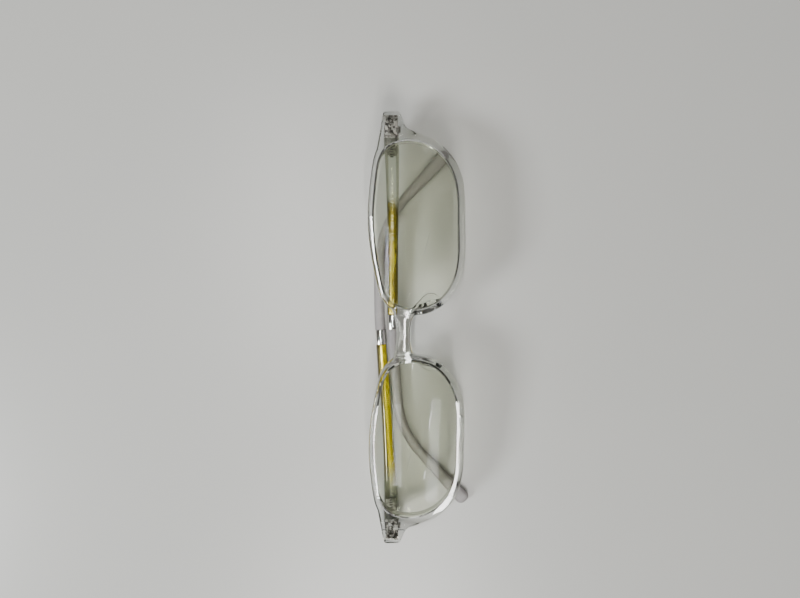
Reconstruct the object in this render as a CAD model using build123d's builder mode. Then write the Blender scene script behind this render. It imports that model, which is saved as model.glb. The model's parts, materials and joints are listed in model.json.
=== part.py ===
"""A folded pair of full-rim eyeglasses with a cracked rim and a skewed right temple.

The pair is drawn square to its front: X runs along the front to the wearer's left, Y runs up to the brow and
Z points forward, with its zero on the front surface in the middle of the bridge. The temples are drawn folded
behind the front. The last section lays the finished pieces down on the folded temples, with +Z up, and writes
one STEP file for each piece. All sizes are in millimetres and degrees.
"""

from build123d import *
import os
from math import asin, cos, degrees, radians, sin, sqrt, tan

LEFT = 1
RIGHT = -1

# ---------------------------------------------------------------------------------------------------------------
# Driving dimensions: the front
# ---------------------------------------------------------------------------------------------------------------
frame_width = 139.6         # over the ends of the two lugs
lens_width = 52.0           # one lens opening, across
lens_height = 26.0          # one lens opening, up and down
bridge_width = 17.0         # between the two lens openings
front_radius = 320.0        # wrap of the front surface about an upright axis
rim_thickness = 3.8         # front to back
rim_width = 2.1             # round the opening, before the drop below
rim_drop = 0.2              # the rim's outside sits this much lower than the opening
rim_rounding = 0.8          # along the outside of the front surface
lens_rise = 0.2             # middle of the openings above the frame's centre line

bridge_top = 6.2            # heights of the bridge's edges, in the middle
bridge_bottom = 1.8
bridge_top_flare = 2.0      # the top edge climbs by this to the rims
bridge_bottom_flare = 2.2   # the bottom edge falls by this to the rims

lug_rise = 7.8              # middle of the lugs and hinges above the frame's centre line
lug_end_height = 5.1
lug_root_height = 8.2
lug_corner_radius = 1.1
lug_root_radius = 2.5
bridge_root_radius = 2.0
lug_ramp_start = 3.2        # the lug's back starts to thicken this far inside the lens opening's temporal end
lug_ramp_length = 4.0
lug_block_depth = 0.1       # the lug's back face stands this far short of the hinge axis

crack_reach = 1.6           # from the outside of the rim towards the lens
crack_width = 0.15
crack_slant = 4.0
crack_from_middle = 25.8    # place of the crack along the front, on the right rim

# The shape of a lens, as shares of half its width and half its height, from the nose round by the chin.
LENS_SHAPE = [
    (-1.000, 0.125),
    (-0.925, -0.470),
    (-0.698, -0.845),
    (0.000, -1.000),
    (0.617, -0.880),
    (0.898, -0.470),
    (1.000, 0.310),
    (0.905, 0.715),
    (0.560, 0.935),
    (0.000, 1.000),
    (-0.594, 0.846),
    (-0.890, 0.630),
]

# ---------------------------------------------------------------------------------------------------------------
# Driving dimensions: lenses and nose pads
# ---------------------------------------------------------------------------------------------------------------
lens_front_radius = 265.0   # front curve
lens_back_radius = 88.0     # hollow back curve of a minus lens
lens_centre_thickness = 1.6
lens_set_back = 0.7         # front of the lens behind the rim's front surface, at the lens's thinnest point
lens_decentre = 3.5         # the thinnest point sits this far towards the nose
lens_clearance = 0.04       # between a lens and its rim, all round
ridge_height = 0.6          # bevel ridge on the lens edge
ridge_half_width = 0.5
ridge_depth = 2.45          # ridge behind the rim's front surface

pad_thickness = 1.5
pad_reach = 7.2             # how far a nose pad stands back from the rim
pad_top = 2.4               # heights of the pad's ends
pad_bottom = -8.0
pad_splay = 20.0            # each pad leans out towards its lens as it goes back
pad_rake = 17.0             # slope of the pad's foot along the rim
pad_foot_x = 6.55           # place of the pad's foot, at its top
pad_foot_sink = 0.8         # the foot starts inside the rim by this, and is cut to the rim's form
pad_easing = 0.5
pad_lens_clearance = 0.15    # between a pad and the edge of its lens
pad_relief_depth = 5.6

# ---------------------------------------------------------------------------------------------------------------
# Driving dimensions: hinges
# ---------------------------------------------------------------------------------------------------------------
hinge_inset = 5.8           # hinge axis inboard of the lug's end
barrel_diameter = 2.5
barrel_clearance = 0.2      # between a barrel and the plastic faces round it
front_knuckle_height = 1.5
temple_knuckle_height = 1.5
knuckle_gap = 0.06
leaf_length = 7.0           # the temple's leaf
leaf_height = 3.4
front_leaf_height = 4.2     # the front's leaf fills most of the lug's height
front_leaf_margin = 1.0     # plastic between the lens opening and the front leaf
front_leaf_cover = 1.2      # plastic between the front leaf and the lug's end
leaf_thickness = 0.8
leaf_start = 0.5            # the leaf begins this far from the hinge axis
stud_diameter = 1.0         # anchors that hold the leaf in the plastic
stud_height = 1.1
screw_diameter = 1.2
screw_fixed_clearance = 0.02    # radial, in the front leaf's knuckles
screw_running_clearance = 0.04  # radial, in the temple leaf's knuckle
screw_head_diameter = 2.1
screw_head_height = 0.6
screw_slot_width = 0.35
screw_slot_depth = 0.3
joint_gap = 0.15            # between the temple's butt end and the hinge axis plane

# ---------------------------------------------------------------------------------------------------------------
# Driving dimensions: temples
# ---------------------------------------------------------------------------------------------------------------
temple_length = 59.0        # hinge axis to the ferrule
butt_height = 5.1           # section at the hinge
butt_thickness = 3.5
waist_at = 22.0             # the temple narrows quickly up to here, then slowly
waist_height = 4.0
waist_thickness = 3.4
rear_height = 3.4           # section at the ferrule
rear_thickness = 3.2
section_rounding = 0.42     # corner radius as a share of the section's smaller side
neck_diameter = 2.6         # inside the ferrule
neck_length = 2.3

ferrule_length = 4.9
ferrule_diameter = 3.7
ferrule_clearance = 0.03
ferrule_easing = 0.25

ear_bend_at = 98.5          # hinge axis to the corner of the bend, along the temple
ear_bend_radius = 32.0
tip_length = 33.0           # from the corner of the bend to the end
droop_at = 68.0             # hinge axis to the small bend behind the ferrule
droop_radius = 40.0
tip_height = 3.3            # section behind the ferrule
tip_thickness = 3.1
paddle_height = 4.8         # section near the end
paddle_thickness = 2.8
paddle_rounding = 1.1       # of the end

wire_diameter = 1.3
wire_clearance = 0.03       # radial
wire_in_temple = 16.0       # how far the core wire reaches into the temple
wire_end_margin = 9.0       # how far it stops short of the tip's end

# How each temple lies when folded. The left one was folded first and lies nearer the lenses. The right one is
# skewed on its hinge and leans up towards the brow.
fold_slope = {LEFT: 1.1, RIGHT: 2.45}   # each temple falls away from the front by this
lean = {LEFT: -0.2, RIGHT: 3.5}         # up towards the brow
droop = {LEFT: 4.2, RIGHT: 2.5}         # downward bend behind the ferrule
ear_bend = {LEFT: 38.3, RIGHT: 44.0}    # the bend behind the ear

# ---------------------------------------------------------------------------------------------------------------
# Worked out from the sizes above
# ---------------------------------------------------------------------------------------------------------------
lens_centre = bridge_width / 2 + lens_width / 2
cut_from = 5.0              # cuts start this far in front of the front surface
through_cut = 20.0          # and go right through the rims
front_block = 30.0          # depth of the block that the front is cut from
lens_block = 12.0           # depth of the block that a lens is cut from
crack_overrun = 1.0         # the crack's cut starts this far outside the rim
lens_tilt = degrees(asin(lens_centre / front_radius))
lug_end = frame_width / 2
hinge_x = lug_end - hinge_inset
barrel_reach = barrel_diameter / 2 + barrel_clearance
back_radius = front_radius - rim_thickness


def surface_depth(x, radius=front_radius):
    """Height of a wrapped surface at a distance x from the middle. The bridge's front surface is zero."""
    return sqrt(radius**2 - x**2) - front_radius


seat_z = surface_depth(hinge_x, back_radius)    # flat on the back of the lug, where the hinge is sunk
hinge_z = seat_z - barrel_reach
block_inner_x = hinge_x + barrel_reach
ferrule_end = temple_length + ferrule_length
front_leaf_inner = lens_centre + lens_width / 2 + front_leaf_margin
front_leaf_outer = lug_end - front_leaf_cover
crack_start = lens_rise - rim_drop - lens_height / 2 - rim_width


# ---------------------------------------------------------------------------------------------------------------
# Planes
# ---------------------------------------------------------------------------------------------------------------
def lens_plane(side, depth=0.0):
    """The plane of one lens opening: its X along the front, its normal forward and outward."""
    tilt = side * radians(lens_tilt)
    middle = Vector(side * lens_centre, lens_rise, surface_depth(lens_centre))
    return Plane(middle, x_dir=(cos(tilt), 0, -sin(tilt)), z_dir=(sin(tilt), 0, cos(tilt))).offset(-depth)


def temple_plane(side, along=0.0):
    """The plane of a folded temple: X along it from the hinge to the tip, Y towards the brow."""
    fall = radians(fold_slope[side])
    rise = radians(lean[side])
    forward = Vector(-side * cos(fall) * cos(rise), sin(rise), -sin(fall) * cos(rise))
    up = Vector(side * cos(fall) * sin(rise), cos(rise), sin(fall) * sin(rise))
    start = Vector(side * hinge_x, lug_rise, hinge_z - barrel_reach - butt_thickness / 2)
    return Plane(start + forward * along, x_dir=forward, z_dir=forward.cross(up))


def section_plane(side, along):
    """A plane across a straight temple, for its section. Its X is towards the brow."""
    frame = temple_plane(side, along)
    return Plane(frame.origin, x_dir=frame.y_dir, z_dir=frame.x_dir)


# ---------------------------------------------------------------------------------------------------------------
# Outlines
# ---------------------------------------------------------------------------------------------------------------
def lens_outline(side, middle=(0, 0), grow=0.0):
    """One lens shape as a flat sketch, grown all round if asked."""
    half_width = lens_width / 2 + grow
    half_height = lens_height / 2 + grow
    points = [
        (middle[0] + side * x * half_width, middle[1] + y * half_height)
        for x, y in LENS_SHAPE
    ]
    with BuildSketch() as outline:
        with BuildLine():
            Spline(*points, periodic=True)
        make_face()
    return outline.sketch


def lug_outline(side):
    """One lug as a flat sketch, with its root inside the rim."""
    rim_x = lens_centre + lens_width / 2
    end_low = lug_rise - lug_end_height / 2
    end_high = lug_rise + lug_end_height / 2
    # Round from the brow: out along the top, down the end, and back to the rim below. The first and the last
    # two corners lie inside the rim.
    corners = [
        (rim_x - 14.0, lens_height / 2 - 4.0),
        (rim_x - 7.5, lens_height / 2 + lens_rise),
        (lug_end, end_high),
        (lug_end, end_low),
        (hinge_x + 0.3, lug_rise - lug_root_height / 2 - 0.6),
        (rim_x + 2.3, lens_rise - 1.3),
        (rim_x + 0.2, lens_rise - 5.2),
        (rim_x - 3.0, lens_rise - 4.0),
    ]
    with BuildSketch() as outline:
        with BuildLine():
            Polyline(*[(side * x, y) for x, y in corners], close=True)
        make_face()
    return outline.sketch


def bridge_outline():
    """The bridge as a flat sketch, with both ends inside the rims."""
    root_x = bridge_width / 2 + 1.5
    root_top = bridge_top + bridge_top_flare
    root_bottom = bridge_bottom - bridge_bottom_flare
    with BuildSketch() as outline:
        with BuildLine():
            ThreePointArc((-root_x, root_top), (0, bridge_top), (root_x, root_top))
            Line((root_x, root_top), (root_x, root_bottom))
            ThreePointArc((root_x, root_bottom), (0, bridge_bottom), (-root_x, root_bottom))
            Line((-root_x, root_bottom), (-root_x, root_top))
        make_face()
    return outline.sketch


def depth_profile():
    """The front as seen from above: a wrapped band that thickens into a block at each lug."""
    edge = lug_end + 1.0
    block_back = hinge_z + lug_block_depth
    ramp_start = lens_centre + lens_width / 2 - lug_ramp_start
    back_at_ramp = surface_depth(ramp_start, back_radius)
    with BuildSketch() as outline:
        with BuildLine():
            ThreePointArc((-edge, surface_depth(edge)), (0, 0), (edge, surface_depth(edge)))
            ThreePointArc((-ramp_start, back_at_ramp), (0, -rim_thickness), (ramp_start, back_at_ramp))
            for side in (LEFT, RIGHT):
                Polyline(
                    (side * edge, surface_depth(edge)),
                    (side * edge, block_back),
                    (side * block_inner_x, block_back),
                    (side * block_inner_x, seat_z),
                    (side * (ramp_start + lug_ramp_length), seat_z),
                    (side * ramp_start, back_at_ramp),
                )
        make_face()
    return outline.sketch


def lens_ridge(side, spare=0.0):
    """A disc of the lens shape with a bevelled edge: the lens's ridge or, with some spare, the rim's groove."""
    half_width = ridge_half_width + spare
    with BuildPart() as ridge:
        for across, height in ((-half_width, 0), (0, ridge_height), (half_width, 0)):
            with BuildSketch(lens_plane(side, ridge_depth + across)):
                add(lens_outline(side, grow=height + spare - lens_clearance / 2))
        loft(ruled=True)
    return ridge.part


# ---------------------------------------------------------------------------------------------------------------
# Hinges
# ---------------------------------------------------------------------------------------------------------------
def hinge_plane(side, height):
    """The plane across a hinge axis, at a height from the middle of the hinge. Its normal is up, its Y backward."""
    return Plane((side * hinge_x, lug_rise + height, hinge_z), x_dir=(1, 0, 0), z_dir=(0, 1, 0))


def knuckle(side, bottom, height, bore, reach):
    """One hinge knuckle: a barrel on a neck that reaches back to its leaf, with a bore for the screw."""
    with BuildPart() as piece:
        with BuildSketch(hinge_plane(side, bottom)):
            Circle(barrel_diameter / 2)
            with Locations((-side * barrel_diameter / 4, reach / 2)):
                Rectangle(barrel_diameter / 2, abs(reach))
            Circle(bore / 2, mode=Mode.SUBTRACT)
        extrude(amount=height)
    return piece.part


def build_front_leaf(side):
    """The front half of a hinge: a plate and two anchors moulded into the lug, and the two outer knuckles."""
    bore = screw_diameter + 2 * screw_fixed_clearance
    knuckle_start = temple_knuckle_height / 2 + knuckle_gap
    neck = -(barrel_reach + leaf_thickness / 2)
    length = front_leaf_outer - front_leaf_inner
    middle = (front_leaf_inner + front_leaf_outer) / 2
    with BuildPart() as leaf:
        with BuildSketch(Plane.XY.offset(seat_z)):
            with Locations((side * middle, lug_rise)):
                Rectangle(length, front_leaf_height)
        extrude(amount=leaf_thickness)
        with BuildSketch(Plane.XY.offset(seat_z + leaf_thickness)):
            with Locations((side * middle, lug_rise)):
                with GridLocations(length / 2, 0, 2, 1):
                    Circle(stud_diameter / 2)
        extrude(amount=stud_height)
        add(knuckle(side, knuckle_start, front_knuckle_height, bore, neck))
        add(knuckle(side, -knuckle_start - front_knuckle_height, front_knuckle_height, bore, neck))
    return leaf


def build_temple_leaf(side):
    """The temple half of a hinge: a plate and two anchors sunk in the temple, and the middle knuckle."""
    bore = screw_diameter + 2 * screw_running_clearance
    face = -side * butt_thickness / 2
    with BuildPart() as leaf:
        with BuildSketch(temple_plane(side).offset(face)):
            with Locations((leaf_start + leaf_length / 2, 0)):
                Rectangle(leaf_length, leaf_height)
        extrude(amount=side * leaf_thickness)
        with BuildSketch(temple_plane(side).offset(face + side * leaf_thickness)):
            with Locations((leaf_start + leaf_length / 2, 0)):
                with GridLocations(leaf_length / 2, 0, 2, 1):
                    Circle(stud_diameter / 2)
        extrude(amount=side * stud_height)
        add(
            knuckle(
                side,
                -temple_knuckle_height / 2,
                temple_knuckle_height,
                bore,
                barrel_reach + leaf_thickness / 2,
            )
        )
    return leaf


def build_hinge_screw(side):
    """A slotted screw through the three knuckles, with its head below."""
    half_height = temple_knuckle_height / 2 + knuckle_gap + front_knuckle_height
    with BuildPart() as screw:
        with BuildSketch(hinge_plane(side, -half_height)):
            Circle(screw_diameter / 2)
        extrude(amount=2 * half_height)
        with BuildSketch(hinge_plane(side, -half_height - screw_head_height)):
            Circle(screw_head_diameter / 2)
        extrude(amount=screw_head_height)
        with BuildSketch(hinge_plane(side, -half_height - screw_head_height)):
            Rectangle(screw_head_diameter, screw_slot_width, rotation=30)
        extrude(amount=screw_slot_depth, mode=Mode.SUBTRACT)
    return screw


left_front_hinge_leaf = build_front_leaf(LEFT)
right_front_hinge_leaf = build_front_leaf(RIGHT)
left_temple_hinge_leaf = build_temple_leaf(LEFT)
right_temple_hinge_leaf = build_temple_leaf(RIGHT)
left_hinge_screw = build_hinge_screw(LEFT)
right_hinge_screw = build_hinge_screw(RIGHT)


# ---------------------------------------------------------------------------------------------------------------
# Front frame
# ---------------------------------------------------------------------------------------------------------------
with BuildSketch() as silhouette:
    for side in (LEFT, RIGHT):
        add(lens_outline(side, (side * lens_centre, lens_rise - rim_drop), rim_width))
        add(lug_outline(side))
    add(bridge_outline())
    lug_corners = silhouette.vertices().filter_by(lambda v: abs(v.X) > lug_end - 0.1)
    fillet(lug_corners, lug_corner_radius)
    lug_roots = silhouette.vertices().filter_by(lambda v: hinge_x - 4 < abs(v.X) < hinge_x + 2 and v.Y < lug_rise)
    fillet(lug_roots, lug_root_radius)
    bridge_roots = silhouette.vertices().filter_by(lambda v: abs(v.X) < bridge_width / 2)
    fillet(bridge_roots, bridge_root_radius)

with BuildPart() as front_frame:
    with BuildSketch(Plane.XY.offset(cut_from)):
        add(silhouette.sketch)
    extrude(amount=-front_block)
    with BuildSketch(Plane.XZ):
        add(depth_profile())
    extrude(amount=lens_height, both=True, mode=Mode.INTERSECT)
    front_edges = front_frame.edges().filter_by(
        lambda e: abs(e.center().Z - surface_depth(e.center().X)) < rim_rounding
    )
    fillet(front_edges, rim_rounding)
    for side in (LEFT, RIGHT):
        with BuildSketch(lens_plane(side, -cut_from)):
            add(lens_outline(side))
        extrude(amount=-through_cut, mode=Mode.SUBTRACT)
        # Groove for the ridge of the lens
        add(lens_ridge(side, lens_clearance), mode=Mode.SUBTRACT)
    # The hinge leaves are moulded in
    add(left_front_hinge_leaf.part, mode=Mode.SUBTRACT)
    add(right_front_hinge_leaf.part, mode=Mode.SUBTRACT)
    # The hairline crack: a slit from the outside of the right rim, most of the way to the lens
    with BuildSketch(Plane.XY.offset(cut_from)):
        with Locations((-crack_from_middle, crack_start - crack_overrun)):
            Rectangle(crack_width, crack_reach + crack_overrun, rotation=crack_slant, align=(Align.CENTER, Align.MIN))
    extrude(amount=-through_cut, mode=Mode.SUBTRACT)


# ---------------------------------------------------------------------------------------------------------------
# Lenses
# ---------------------------------------------------------------------------------------------------------------
def build_lens(side):
    """A minus lens: cut to the opening, domed in front, hollow behind, with a ridge round its edge."""
    thinnest = Pos(-side * lens_decentre, 0, 0)
    front_centre = -lens_set_back - lens_front_radius
    back_centre = -lens_set_back - lens_centre_thickness - lens_back_radius
    with BuildPart() as lens:
        with BuildSketch(lens_plane(side)):
            add(lens_outline(side, grow=-lens_clearance))
        extrude(amount=-lens_block)
        add(lens_ridge(side))
        with Locations(lens_plane(side).location * thinnest * Pos(0, 0, front_centre)):
            Sphere(lens_front_radius, mode=Mode.INTERSECT)
        with Locations(lens_plane(side).location * thinnest * Pos(0, 0, back_centre)):
            Sphere(lens_back_radius, mode=Mode.SUBTRACT)
    return lens


left_lens = build_lens(LEFT)
right_lens = build_lens(RIGHT)


# ---------------------------------------------------------------------------------------------------------------
# Nose pads
# ---------------------------------------------------------------------------------------------------------------
def build_nose_pad(side):
    """A fin that stands back from the nasal side of the rim. Its foot takes the form of the rim."""
    splay = radians(pad_splay)
    rake = radians(pad_rake)
    down = Vector(side * sin(rake), -cos(rake), 0)
    back = Vector(side * sin(splay) * cos(rake), sin(splay) * sin(rake), -cos(splay))
    foot = Vector(side * pad_foot_x, pad_top, -rim_thickness + pad_foot_sink)
    length = (pad_top - pad_bottom) / cos(rake)
    with BuildPart() as pad:
        with BuildSketch(Plane(foot, x_dir=down, z_dir=down.cross(back))):
            with BuildLine():
                Polyline((0, pad_foot_sink), (0, 0), (length, 0), (length, pad_foot_sink + 1.6))
                Spline(
                    (length, pad_foot_sink + 1.6),
                    (length - 2.8, pad_foot_sink + pad_reach),
                    (0, pad_foot_sink),
                    tangents=[(0, 1), (-0.75, -0.66)],
                )
            make_face()
        extrude(amount=pad_thickness / 2, both=True)
        rear_edges = pad.edges().filter_by(lambda e: e.length > 8 and e.center().Z < -rim_thickness - 1)
        fillet(rear_edges, pad_easing)
        add(front_frame.part, mode=Mode.SUBTRACT)
        # Relief round the thick edge of the lens
        with BuildSketch(lens_plane(side)):
            add(lens_outline(side, grow=pad_lens_clearance))
        extrude(amount=-pad_relief_depth, mode=Mode.SUBTRACT)
    # The cuts leave a crumb beside the foot, so only the pad itself is kept
    with BuildPart() as whole_pad:
        add(pad.part.solids().sort_by(SortBy.VOLUME)[-1])
    return whole_pad


left_nose_pad = build_nose_pad(LEFT)
right_nose_pad = build_nose_pad(RIGHT)


# ---------------------------------------------------------------------------------------------------------------
# Temples
# ---------------------------------------------------------------------------------------------------------------
def oval(height, thickness):
    """A temple's section: a rectangle with well rounded corners."""
    with BuildSketch() as section:
        RectangleRounded(height, thickness, section_rounding * min(height, thickness))
    return section.sketch


def rear_corners(side):
    """The corners of a temple's middle line behind the ferrule, in the temple's own plane, and its last slope."""
    fall = radians(droop[side])
    slope = radians(droop[side] + ear_bend[side])
    run = ear_bend_at - droop_at
    return (droop_at, 0), (droop_at + run * cos(fall), -run * sin(fall)), slope


def rear_path(side, start, reach):
    """A temple's middle line from a place on the straight run to a distance past the corner of the ear bend."""
    first, second, slope = rear_corners(side)
    end = (second[0] + reach * cos(slope), second[1] - reach * sin(slope))
    with BuildLine(temple_plane(side)) as path:
        FilletPolyline((start, 0), first, second, end, radius=[droop_radius, ear_bend_radius])
    return path.line


def tip_plane(side, reach):
    """The plane across the last straight run of a temple, for its section. Its X is towards the brow."""
    frame = temple_plane(side)
    second, slope = rear_corners(side)[1:]
    forward = frame.x_dir * cos(slope) - frame.y_dir * sin(slope)
    up = frame.x_dir * sin(slope) + frame.y_dir * cos(slope)
    place = frame.origin + frame.x_dir * second[0] + frame.y_dir * second[1] + forward * reach
    return Plane(place, x_dir=up, z_dir=forward)


def build_temple(side, leaf):
    """The plastic of a temple: a bar that narrows to the ferrule, with a neck inside it."""
    bore = wire_diameter + 2 * wire_clearance
    with BuildPart() as temple:
        for along, height, thickness in (
            (-1.0, butt_height, butt_thickness),
            (waist_at, waist_height, waist_thickness),
            (temple_length, rear_height, rear_thickness),
        ):
            with BuildSketch(section_plane(side, along)):
                add(oval(height, thickness))
        loft()
        split(bisect_by=Plane((side * (hinge_x - joint_gap), 0, 0), z_dir=(-side, 0, 0)), keep=Keep.TOP)
        with BuildSketch(section_plane(side, temple_length)):
            Circle(neck_diameter / 2)
        extrude(amount=neck_length)
        # Bore for the core wire, from the end of the neck
        with BuildSketch(section_plane(side, temple_length + neck_length)):
            Circle(bore / 2)
        extrude(amount=-(neck_length + wire_in_temple), mode=Mode.SUBTRACT)
        add(leaf.part, mode=Mode.SUBTRACT)
    return temple


def build_ferrule(side):
    """A metal ring over the joint between the temple and its tip."""
    bore = neck_diameter + 2 * ferrule_clearance
    with BuildPart() as ferrule:
        with BuildSketch(section_plane(side, temple_length)):
            Circle(ferrule_diameter / 2)
            Circle(bore / 2, mode=Mode.SUBTRACT)
        extrude(amount=ferrule_length)
        rims = ferrule.edges().filter_by(GeomType.CIRCLE).group_by(SortBy.RADIUS)[-1]
        fillet(rims, ferrule_easing)
    return ferrule


def build_tip(side):
    """The soft tip: a bar that bends down behind the ear and widens into a rounded paddle."""
    bore = wire_diameter + 2 * wire_clearance
    bend_end = ear_bend_radius * tan(radians(ear_bend[side] / 2)) + 0.5
    with BuildPart() as tip:
        with BuildSketch(section_plane(side, ferrule_end - neck_length)):
            Circle(neck_diameter / 2)
        extrude(amount=neck_length)
        with BuildSketch(section_plane(side, ferrule_end)):
            add(oval(tip_height, tip_thickness))
        sweep(path=rear_path(side, ferrule_end, bend_end))
        for reach, height, thickness in (
            (bend_end, tip_height, tip_thickness),
            ((bend_end + tip_length) / 2, (tip_height + paddle_height) / 2, (tip_thickness + paddle_thickness) / 2),
            (tip_length, paddle_height, paddle_thickness),
        ):
            with BuildSketch(tip_plane(side, reach)):
                add(oval(height, thickness))
        loft()
        end_face = tip.faces().sort_by(Axis(tip_plane(side, 0).origin, tip_plane(side, 0).z_dir))[-1]
        fillet(end_face.edges(), paddle_rounding)
        # Bore for the core wire
        with BuildSketch(section_plane(side, ferrule_end - neck_length)):
            Circle(bore / 2)
        sweep(path=rear_path(side, ferrule_end - neck_length, tip_length - wire_end_margin), mode=Mode.SUBTRACT)
    return tip


def build_core_wire(side):
    """The steel wire that joins the temple to its tip inside the ferrule."""
    start = temple_length - wire_in_temple
    with BuildPart() as wire:
        with BuildSketch(section_plane(side, start)):
            Circle(wire_diameter / 2)
        sweep(path=rear_path(side, start, tip_length - wire_end_margin))
    return wire


left_temple = build_temple(LEFT, left_temple_hinge_leaf)
right_temple = build_temple(RIGHT, right_temple_hinge_leaf)
left_ferrule = build_ferrule(LEFT)
right_ferrule = build_ferrule(RIGHT)
left_temple_tip = build_tip(LEFT)
right_temple_tip = build_tip(RIGHT)
left_core_wire = build_core_wire(LEFT)
right_core_wire = build_core_wire(RIGHT)


# ---------------------------------------------------------------------------------------------------------------
# Laid down on the folded temples
# ---------------------------------------------------------------------------------------------------------------
def underside(side, along, half_thickness):
    """A spot on the outer face of a folded temple's straight run, which is its underside at rest."""
    return temple_plane(side, along).origin + temple_plane(side).z_dir * side * half_thickness


def resting_plane():
    """The table's plane: it touches the right ferrule, the right tip before its bend and the end of the left tip."""
    ferrule_spot = underside(RIGHT, temple_length, ferrule_diameter / 2)
    bend_start = ear_bend_at - ear_bend_radius * tan(radians(ear_bend[RIGHT] / 2))
    bend_drop = (bend_start - droop_at) * sin(radians(droop[RIGHT]))
    bend_spot = underside(RIGHT, bend_start, tip_thickness / 2) - temple_plane(RIGHT).y_dir * bend_drop
    tip_spot = tip_plane(LEFT, tip_length - 1.5).origin + temple_plane(LEFT).z_dir * LEFT * paddle_thickness / 2
    normal = (bend_spot - ferrule_spot).cross(tip_spot - ferrule_spot)
    if normal.Z < 0:
        normal = -normal
    along = Vector(normal.Z, 0, -normal.X)
    return Plane(ferrule_spot, x_dir=along, z_dir=normal)


pieces = {
    "front_frame": front_frame,
    "left_lens": left_lens,
    "right_lens": right_lens,
    "left_nose_pad": left_nose_pad,
    "right_nose_pad": right_nose_pad,
    "left_front_hinge_leaf": left_front_hinge_leaf,
    "right_front_hinge_leaf": right_front_hinge_leaf,
    "left_temple_hinge_leaf": left_temple_hinge_leaf,
    "right_temple_hinge_leaf": right_temple_hinge_leaf,
    "left_hinge_screw": left_hinge_screw,
    "right_hinge_screw": right_hinge_screw,
    "left_temple": left_temple,
    "right_temple": right_temple,
    "left_ferrule": left_ferrule,
    "right_ferrule": right_ferrule,
    "left_temple_tip": left_temple_tip,
    "right_temple_tip": right_temple_tip,
    "left_core_wire": left_core_wire,
    "right_core_wire": right_core_wire,
}

laid_flat = resting_plane().location.inverse()
for piece in pieces.values():
    piece.part.move(laid_flat)
box = Compound([piece.part for piece in pieces.values()]).bounding_box()
centred = Pos(-box.center().X, -box.center().Y, -box.min.Z)

os.makedirs("parts", exist_ok=True)
for name, piece in pieces.items():
    piece.part.move(centred)
    piece.part.label = name
    export_step(piece.part, f"parts/{name}.step")

print("overall size", box.size)
rest = centred * laid_flat
for label, side in (("left", LEFT), ("right", RIGHT)):
    axis = rest * hinge_plane(side, 0).location
    print(label, "hinge axis at", axis.position, "along", Plane(axis).z_dir)
print("front plane at", (rest * Plane.XY.location).position, "normal", Plane(rest * Plane.XY.location).z_dir)
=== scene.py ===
# %% [markdown]
# # A folded pair of broken eyeglasses
# The pair lies face up on its folded temples. Nearly everything is clear or shiny, so the picture is made of
# thin dark edges, white highlights and what shows through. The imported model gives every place. Pieces whose
# looks depend on smooth surfaces are made again here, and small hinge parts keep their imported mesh.

# %% Load the frame
import json
from math import asin, cos, pi, radians, sin, sqrt, tan

import bmesh
import bpy
import numpy as np
from mathutils import Matrix, Vector


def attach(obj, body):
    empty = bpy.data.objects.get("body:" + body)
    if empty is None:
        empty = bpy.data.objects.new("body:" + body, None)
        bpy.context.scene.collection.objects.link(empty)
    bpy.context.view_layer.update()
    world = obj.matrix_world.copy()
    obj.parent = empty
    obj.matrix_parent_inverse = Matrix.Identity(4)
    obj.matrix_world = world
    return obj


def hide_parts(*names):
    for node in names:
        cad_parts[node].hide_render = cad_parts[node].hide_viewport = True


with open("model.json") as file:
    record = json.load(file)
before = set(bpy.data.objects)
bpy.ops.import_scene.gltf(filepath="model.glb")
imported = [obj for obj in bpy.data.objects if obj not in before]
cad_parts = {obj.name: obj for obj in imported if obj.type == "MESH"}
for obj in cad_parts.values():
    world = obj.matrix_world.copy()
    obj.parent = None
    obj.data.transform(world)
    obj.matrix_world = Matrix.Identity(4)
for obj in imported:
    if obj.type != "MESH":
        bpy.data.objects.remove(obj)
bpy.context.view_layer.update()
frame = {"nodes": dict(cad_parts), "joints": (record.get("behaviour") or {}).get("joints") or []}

# %% [markdown]
# ## Where things are
# Makers draw glasses square to their front: X along the front, Y up to the brow, Z out of the front. The pair
# itself lies a little tilted. Both hinge axes stand along Y and lie on one line along X, so the two joints of
# the frame are enough to find that drawing's axes.

# %% The drawing's axes, found from the two hinges
MM = 0.001
LEFT = 1
RIGHT = -1
SIDES = {LEFT: "left", RIGHT: "right"}
hinge_height = 7.8          # hinges above the middle line of the front, in mm
hinge_depth = 11.788        # hinges behind the front of the bridge
hinges = {joint["name"]: joint for joint in frame["joints"]}
hinge_at = {side: Vector(hinges[name + "_temple_hinge"]["pos_m"]) for side, name in SIDES.items()}
axis_x = (hinge_at[LEFT] - hinge_at[RIGHT]).normalized()
axis_y = Vector(hinges["right_temple_hinge"]["axis"]).normalized()
axis_z = axis_x.cross(axis_y)
hinge_x = (hinge_at[LEFT] - hinge_at[RIGHT]).length / 2 / MM
bridge_at = (hinge_at[LEFT] + hinge_at[RIGHT]) / 2 - axis_y * hinge_height * MM + axis_z * hinge_depth * MM
TURN = np.array([axis_x, axis_y, axis_z])


def laid(points):
    """Places in the drawing, in mm, as places in the frame, in metres."""
    return (np.asarray(points, float) @ TURN) * MM + np.array(bridge_at)


def laid_direction(direction):
    """A direction in the drawing as a direction in the frame."""
    return (axis_x * direction[0] + axis_y * direction[1] + axis_z * direction[2]).normalized()


def stand(place, *ways):
    """A matrix that stands something at a place of the frame, with three directions as its own axes."""
    return Matrix.Translation(place) @ Matrix(ways).transposed().to_4x4()


print("hinges", round(2 * hinge_x, 2), "mm apart, bridge at", [round(x / MM, 2) for x in bridge_at])

# %% [markdown]
# ## The camera
# The view looks almost straight down on the front from a short way above its left half, with the brow to the
# left of the picture. A camera so near sees the lugs and the rims slightly from inside, which shows in the
# width of the side walls.

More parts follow.
